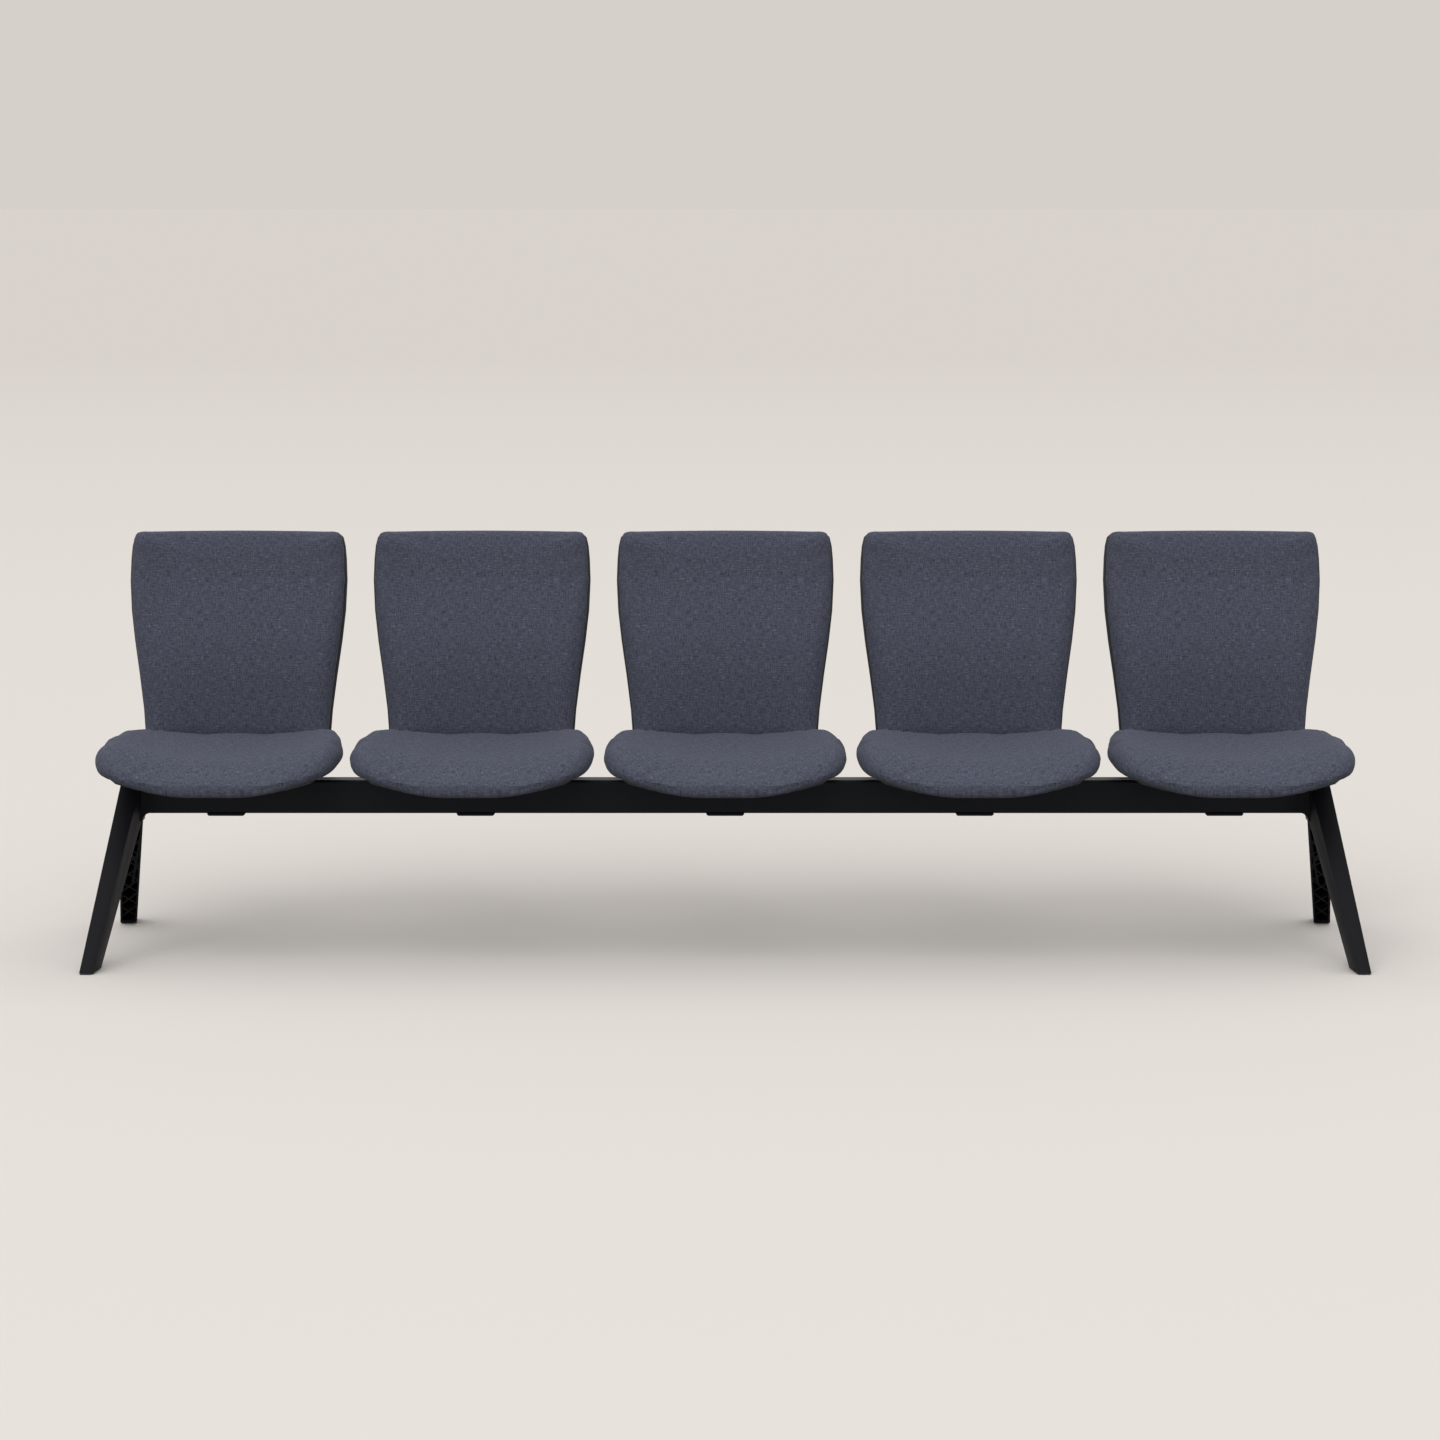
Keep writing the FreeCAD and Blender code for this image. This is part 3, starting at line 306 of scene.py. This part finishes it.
def tucked_lip(place, normal):
    """The seat's front corners are tucked up, and the pan follows the cushion there."""
    aside = abs(place.x)
    corner = ease(-place.y, 0.14, 0.20) * ease(aside, 0.04, 0.16) * (1 - ease(aside, 0.20, 0.24))
    return Vector((0, 0, LIP_TUCK * corner))


def form(piece, move, middle=0):
    """Move each point by a function of its place, counted from the piece's middle, and its normal."""
    beside = Vector((middle, 0, 0))
    moves = [move(vertex.co - beside, vertex.normal) for vertex in piece.data.vertices]
    for vertex, step in zip(piece.data.vertices, moves):
        vertex.co += step


metalwork = [break_edges("leg_left", "leg_casting_left", 1.0, cast_coat),
             break_edges("leg_right", "leg_casting_right", 1.0, cast_coat),
             break_edges("beam", "beam_tube", 0.4, steel_coat)]
for seat in SEATS:
    for cad_name, name, radius, material, slot in (
            (f"seat_carrier_{seat}", f"carrier_casting_{seat}", 0.8, cast_coat, "cast_frame"),
            (f"clamp_plate_{seat}", f"clamp_bar_{seat}", 0.5, steel_coat, "plate_steel"),
            (f"back_upright_{seat}", f"back_bar_{seat}", 0.8, steel_coat, "plate_steel"),
            (f"seat_pan_{seat}", f"pan_moulding_{seat}", 1.0, polypropylene, "black_plastic"),
            (f"back_shell_{seat}", f"shell_moulding_{seat}", 1.2, polypropylene, "black_plastic")):
        metalwork.append(break_edges(cad_name, name, radius, material))
        if cad_name.startswith("seat_pan"):
            low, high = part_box(cad_name)
            form(metalwork[-1], tucked_lip, (low.x + high.x) / 2)
print("pieces with broken edges", len(metalwork), "faces", sum(len(p.data.polygons) for p in metalwork))

# %% [markdown]
# ## Glides, bolts and nuts
# These are small, and their CAD shape is right, so each keeps its node and only takes a finish.

# %% Glides, bolts and nuts
def refinish(cad_name, material):
    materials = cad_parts[cad_name].data.materials
    materials.clear()
    materials.append(material)


for cad_name in ("clamp_bolts", "clamp_nuts", "upright_bolts", "upright_nuts", "leg_bolts"):
    refinish(cad_name, oxide)
for end in ("front", "rear"):
    for side in ("left", "right"):
        refinish(f"glide_{end}_{side}", nylon)

# %% [markdown]
# ## Pan and shell screws
# M6 button-head screws hold each pan to the four arms of its carrier, from below, and each shell to
# its bar, from behind. One head is modelled: a short cylinder whose end face is inset and raised
# three times into a dome, with a hexagon socket sunk in it. It is then copied to each place.

# %% Pan and shell screws
def button_head(name, radius, height):
    """A button head that stands on its origin, with its socket up +Z."""
    bpy.ops.mesh.primitive_cylinder_add(vertices=24, radius=radius, depth=height * 0.4,
                                        location=(0, 0, height * 0.2))
    head = bpy.context.object
    head.name = name
    settle(head)
    pick(head)
    bpy.context.tool_settings.mesh_select_mode = (False, False, True)
    for polygon in head.data.polygons:
        polygon.select = polygon.normal.z > 0.9
    bpy.ops.object.mode_set(mode="EDIT")
    for inwards, up in ((0.12, 0.28), (0.18, 0.22), (0.2, 0.1)):
        bpy.ops.mesh.inset(thickness=inwards * radius, depth=0)
        bpy.ops.transform.translate(value=(0, 0, up * height))
    bpy.ops.mesh.inset(thickness=0.06 * radius, depth=0)
    bpy.ops.object.mode_set(mode="OBJECT")
    socket = [polygon for polygon in head.data.polygons if polygon.select][0]
    for index in socket.vertices:
        corner = head.data.vertices[index].co
        turn = math.atan2(corner.y, corner.x) % math.radians(60) - math.radians(30)
        corner.xy = corner.xy.normalized() * (0.33 * radius / math.cos(turn))
    bpy.ops.object.mode_set(mode="EDIT")
    bpy.ops.mesh.extrude_region_move(TRANSFORM_OT_translate={"value": (0, 0, -0.6 * height)})
    bpy.ops.object.mode_set(mode="OBJECT")
    bpy.ops.object.shade_smooth_by_angle(angle=math.radians(35))
    head.data.materials.append(oxide)
    return head


LEAN = math.radians(10)
UP_THE_BACK = Vector((0, math.sin(LEAN), math.cos(LEAN)))
OUT_OF_THE_BACK = Vector((0, -math.cos(LEAN), math.sin(LEAN)))
ARM_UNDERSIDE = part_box("beam")[1].z
HEAD_RADIUS, HEAD_HEIGHT = 5.5 * MM, 3.3 * MM
PAN_SCREW_X, PAN_SCREW_IN = 108 * MM, 15 * MM
SHELL_SCREW_X, SHELL_SCREWS_DOWN = 14 * MM, (24 * MM, 90 * MM)
BAR_THICKNESS = 8 * MM


def screw_on(master, name, place, outwards):
    screw = bpy.data.objects.new(name, master.data.copy())
    bpy.context.scene.collection.objects.link(screw)
    turn = outwards.to_track_quat("Z", "Y").to_matrix().to_4x4()
    screw.data.transform(Matrix.Translation(place) @ turn)
    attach(screw, "root")


master = button_head("screw_master", HEAD_RADIUS, HEAD_HEIGHT)
for seat in SEATS:
    carrier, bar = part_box(f"seat_carrier_{seat}"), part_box(f"back_upright_{seat}")
    middle = (carrier[0].x + carrier[1].x) / 2
    for x in (-1, 1):
        for y in (carrier[0].y + PAN_SCREW_IN, carrier[1].y - PAN_SCREW_IN):
            under_the_arm = Vector((middle + x * PAN_SCREW_X, y, ARM_UNDERSIDE))
            screw_on(master, f"pan_screw_{seat}_{x}_{y:.2f}", under_the_arm, Vector((0, 0, -1)))
        for down in SHELL_SCREWS_DOWN:
            corner = Vector((middle + x * SHELL_SCREW_X, bar[1].y, bar[1].z - BAR_THICKNESS * math.sin(LEAN)))
            screw_on(master, f"shell_screw_{seat}_{x}_{down:.3f}", corner - UP_THE_BACK * down,
                     -OUT_OF_THE_BACK)
bpy.data.objects.remove(master)

# %% [markdown]
# ## Padded covers
# A cover is cloth pulled tight over moulded foam. One seat pad and one back pad are made and then
# copied. Each starts as a copy of its CAD solid. A voxel remesh and a little smoothing melt its
# facets, and a small push outwards gives back the size that smoothing takes. Then the foam's own
# form is added, which has no facets: the seat rises a little to its rear, its sides are full, its
# front rolls down and its lip tucks up at the corners, and the back swells at the height of the
# loins and has a gently crowned top. A short cloth simulation blows the pad up from inside, as foam
# does under a tight cover, while the face that lies on its pan or shell stays put.

# %% Padded covers
PAD_VOXEL, PAD_PUSH = 6 * MM, 2.2 * MM
PAD_FRAMES, PAD_PRESSURE, PAD_CAP = 20, 4.0, 4 * MM
HELD_FACING = 0.75
REAR_RISE, REAR_SHOULDERS, FRONT_ROLL, FULL_SIDES = 12 * MM, 3 * MM, 9 * MM, 8 * MM
LOIN_SWELL, TOP_CROWN, CROWN_MIDDLE, BACK_SIDES = 13 * MM, 7 * MM, 4 * MM, 2.2 * MM
HALF_BACK = 0.23


def soften(piece):
    """Remesh a pad evenly, melt its facets and push it out along its normals."""
    remesh = piece.modifiers.new("even", "REMESH")
    remesh.mode, remesh.voxel_size = "VOXEL", PAD_VOXEL
    apply(piece, "even")
    smooth = piece.modifiers.new("melt", "SMOOTH")
    smooth.factor, smooth.iterations = 0.5, 10
    apply(piece, "melt")
    grow = piece.modifiers.new("push", "DISPLACE")
    grow.strength, grow.mid_level = PAD_PUSH, 0
    apply(piece, "push")


def seat_form(place, normal):
    """How far a point of the seat's foam moves."""
    aside = abs(place.x)
    if normal.z < 0:
        return tucked_lip(place, normal)
    rise = REAR_RISE * ease(place.y, -0.10, 0.15) * (1 - ease(aside, 0.0, 0.24))
    shoulders = ease(place.y, 0.06, 0.14) * ease(aside, 0.08, 0.16) * (1 - ease(aside, 0.18, 0.22))
    rise -= REAR_SHOULDERS * shoulders
    rise -= FRONT_ROLL * ease(-place.y, 0.14, 0.25) * (1 - ease(aside, 0.17, 0.24))
    fuller = normal * (FULL_SIDES * abs(normal.x) * normal.z * ease(place.y, -0.12, 0.0))
    return Vector((0, 0, rise * min(1, 2 * normal.z))) + fuller


heights = [vertex.co.dot(UP_THE_BACK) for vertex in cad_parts["back_cushion_3"].data.vertices]
BACK_FOOT, BACK_TOP = min(heights), max(heights)


def back_form(place, normal):
    """The back's foam: a swell at the loins, and a top edge that is highest in the middle."""
    share = (place.dot(UP_THE_BACK) - BACK_FOOT) / (BACK_TOP - BACK_FOOT)
    facing = max(0, normal.dot(OUT_OF_THE_BACK))
    inwards = 1 - ease(abs(place.x), 0.10, HALF_BACK)
    swell = LOIN_SWELL * ease(share, 0, 0.45) * (1 - ease(share, 0.45, 0.95)) * inwards
    crown = (TOP_CROWN + CROWN_MIDDLE * (1 - (place.x / HALF_BACK) ** 2)) * ease(share, 0.8, 1)
    sides = Vector((BACK_SIDES * normal.x, 0, 0))
    return OUT_OF_THE_BACK * swell * facing + UP_THE_BACK * crown + sides


def box_of(piece):
    """Lowest and highest corner of a mesh, in mm."""
    return [[round(extreme(v.co[axis] for v in piece.data.vertices) / MM, 1) for axis in range(3)]
            for extreme in (min, max)]


def rests(piece, low_side):
    """Pin the vertices that lie on the hard part: those whose normal looks at it."""
    held = piece.vertex_groups.new(name="held")
    for vertex in piece.data.vertices:
        if vertex.normal.dot(low_side) > HELD_FACING:
            held.add([vertex.index], 1.0, "REPLACE")


def inflate(piece):
    """Blow the pad up for a few frames, and let no point move further than the cap."""
    before = [vertex.co.copy() for vertex in piece.data.vertices]
    cloth = piece.modifiers.new("foam", "CLOTH")
    cloth.settings.use_pressure = True
    cloth.settings.uniform_pressure_force = PAD_PRESSURE
    cloth.settings.vertex_group_mass = "held"
    cloth.settings.effector_weights.gravity = 0
    cloth.settings.quality = 5
    cloth.point_cache.frame_end = PAD_FRAMES
    for step in range(1, PAD_FRAMES + 1):
        bpy.context.scene.frame_set(step)
    apply(piece, "foam")
    bpy.context.scene.frame_set(1)
    for vertex, start in zip(piece.data.vertices, before):
        moved = vertex.co - start
        if moved.length > PAD_CAP:
            vertex.co = start + moved * (PAD_CAP / moved.length)
    far = [(vertex.co - start).length for vertex, start in zip(piece.data.vertices, before)]
    return max(far), sum(far) / len(far)


def map_cloth(piece, across, up):
    """A UV map in metres. It looks straight at the pad, and runs on down its sides and ends."""
    facing = across.cross(up)
    layer = piece.data.uv_layers.new(name="cloth")
    top = max(vertex.co.dot(facing) for vertex in piece.data.vertices)
    for loop in piece.data.loops:
        vertex = piece.data.vertices[loop.vertex_index]
        below = top - vertex.co.dot(facing)
        x, y = vertex.normal.dot(across), vertex.normal.dot(up)
        steep = x * x + y * y + 0.1
        layer.data[loop.index].uv = (vertex.co.dot(across) + below * x * abs(x) / steep,
                                     vertex.co.dot(up) + below * y * abs(y) / steep)


def padded_cover(cad_name, name, own_form, facing, up):
    piece = copy_of(cad_name, name)
    soften(piece)
    form(piece, own_form)
    rests(piece, -facing)
    most, mean = inflate(piece)
    print(name, "swelled by up to", round(most / MM, 1), "mm, on average", round(mean / MM, 1))
    fine = piece.modifiers.new("fine", "SUBSURF")
    fine.levels = fine.render_levels = 1
    apply(piece, "fine")
    map_cloth(piece, Vector((1, 0, 0)), up)
    pick(piece)
    bpy.ops.object.shade_smooth()
    print(name, len(piece.data.polygons), "faces, box in mm", box_of(piece),
          "CAD", box_of(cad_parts[cad_name]))
    return piece


seat_master = padded_cover("seat_cushion_3", "seat_cover", seat_form, Vector((0, 0, 1)), Vector((0, 1, 0)))
back_master = padded_cover("back_cushion_3", "back_cover", back_form, OUT_OF_THE_BACK, UP_THE_BACK)

# %% [markdown]
# ## Five of each
# The bench repeats one seat, so each cover is copied to its place with a mesh of its own.

# %% Five of each
def repeat_cover(master, cad_stem, name):
    for seat in SEATS:
        cover = bpy.data.objects.new(f"{name}_{seat}", master.data.copy())
        bpy.context.scene.collection.objects.link(cover)
        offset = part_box(f"{cad_stem}_{seat}")[0].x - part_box(f"{cad_stem}_3")[0].x
        cover.data.transform(Matrix.Translation((offset, 0, 0)))
        finished(cover, [f"{cad_stem}_{seat}"], cover_cloth)
    bpy.data.objects.remove(master)


repeat_cover(seat_master, "seat_cushion", "seat_cover")
repeat_cover(back_master, "back_cushion", "back_cover")

# %% [markdown]
# ## Studio
# The photograph has no horizon: the paper floor simply runs back out of sight. A very large plane
# does that here. Its tone darkens a little towards the back: that is painted shade, standing in for
# the light that falls off on a far backdrop, and the world carries on with nearly the far tone above
# it. Rays that only carry light from surface to surface see a darker floor and world, so the
# undersides stay as dark as they are in the photograph.

# %% Studio
FLOOR_NEAR, FLOOR_FAR, FLOOR_SEEN_BY_LIGHT = "e0dbd6", "d1cbc6", "908c89"
FADE_FROM, FADE_TO = -4.0, 26.0
AIR, AIR_SEEN_BY_LIGHT = "d6d0cb", "a2a1a0"


def seen_directly(material_like):
    """1 for rays that reach the picture straight, by gloss or through glass, else 0."""
    paths = node(material_like, "LightPath")
    both = node(material_like, "Math",
                {0: paths.outputs["Is Camera Ray"], 1: paths.outputs["Is Glossy Ray"]},
                operation="MAXIMUM")
    return node(material_like, "Math", {0: both.outputs[0], 1: paths.outputs["Is Transmission Ray"]},
                operation="MAXIMUM").outputs[0]


def studio_paper():
    material, place = new_material("pale warm studio paper")
    away = node(material, "SeparateXYZ", {"Vector": place}).outputs["Y"]
    distance = node(material, "MapRange", {"Value": away},
                    {"From Min": FADE_FROM, "From Max": FADE_TO}).outputs[0]
    # Painted shade: the paper is darker towards the back, where a real backdrop gets less light.
    tone = blend_colours(material, distance, FLOOR_NEAR, FLOOR_FAR)
    tone = blend_colours(material, seen_directly(material), FLOOR_SEEN_BY_LIGHT, tone)
    return finish_surface(material, Base_Color=tone, Roughness=1.0, Specular_IOR_Level=0.0)


bpy.ops.mesh.primitive_plane_add(size=600, location=(0, 0, 0))
floor = bpy.context.object
floor.name = "studio_floor"
floor.data.materials.append(studio_paper())


def soft_sun(name, elevation, azimuth, spread, strength):
    """A lamp so far away that it lights the whole floor evenly; azimuth 0 is from the front."""
    data = bpy.data.lights.new(name, "SUN")
    data.angle, data.energy = math.radians(spread), strength
    lamp = bpy.data.objects.new(name, data)
    bpy.context.scene.collection.objects.link(lamp)
    lamp.rotation_euler = (math.radians(90 - elevation), 0, math.radians(azimuth))
    return lamp


soft_sun("overhead softbox", 102, 0, 150, 1.45)
soft_sun("front softbox", 46, -12, 60, 1.2)

world = bpy.data.worlds.new("studio air")
world.use_nodes = True
world.node_tree.nodes.clear()
air = node(world, "Background", inputs={"Strength": 1.0})
air_tone = blend_colours(world, seen_directly(world), AIR_SEEN_BY_LIGHT, AIR)
world.node_tree.links.new(air_tone, air.inputs["Color"])
world.node_tree.links.new(air.outputs["Background"],
                          node(world, "OutputWorld").inputs["Surface"])
bpy.context.scene.world = world

# %% [markdown]
# ## Camera
# The photograph was taken from about 7.8 m in front of the bench and 1.6 m up, with a long lens
# tilted down by 8 degrees. The sideways shift is the few pixels by which its frame is off centre.

# %% Camera
PHOTO_WIDTH, FOCUS_PIXELS, SHIFT_PIXELS = 1440, 3784, -5.25
SENSOR_MM = 36
DOWN = math.radians(8.14)
camera_data = bpy.data.cameras.new("camera")
camera = bpy.data.objects.new("camera", camera_data)
bpy.context.scene.collection.objects.link(camera)
camera.location = (0, -7.8, 1.595)
camera.rotation_euler = (math.radians(90) - DOWN, 0, 0)
camera_data.sensor_width = SENSOR_MM
camera_data.lens = SENSOR_MM * FOCUS_PIXELS / PHOTO_WIDTH
camera_data.shift_x = SHIFT_PIXELS / PHOTO_WIDTH
camera_data.clip_end = 200
bpy.context.scene.camera = camera
bpy.context.scene.view_settings.view_transform = "Standard"
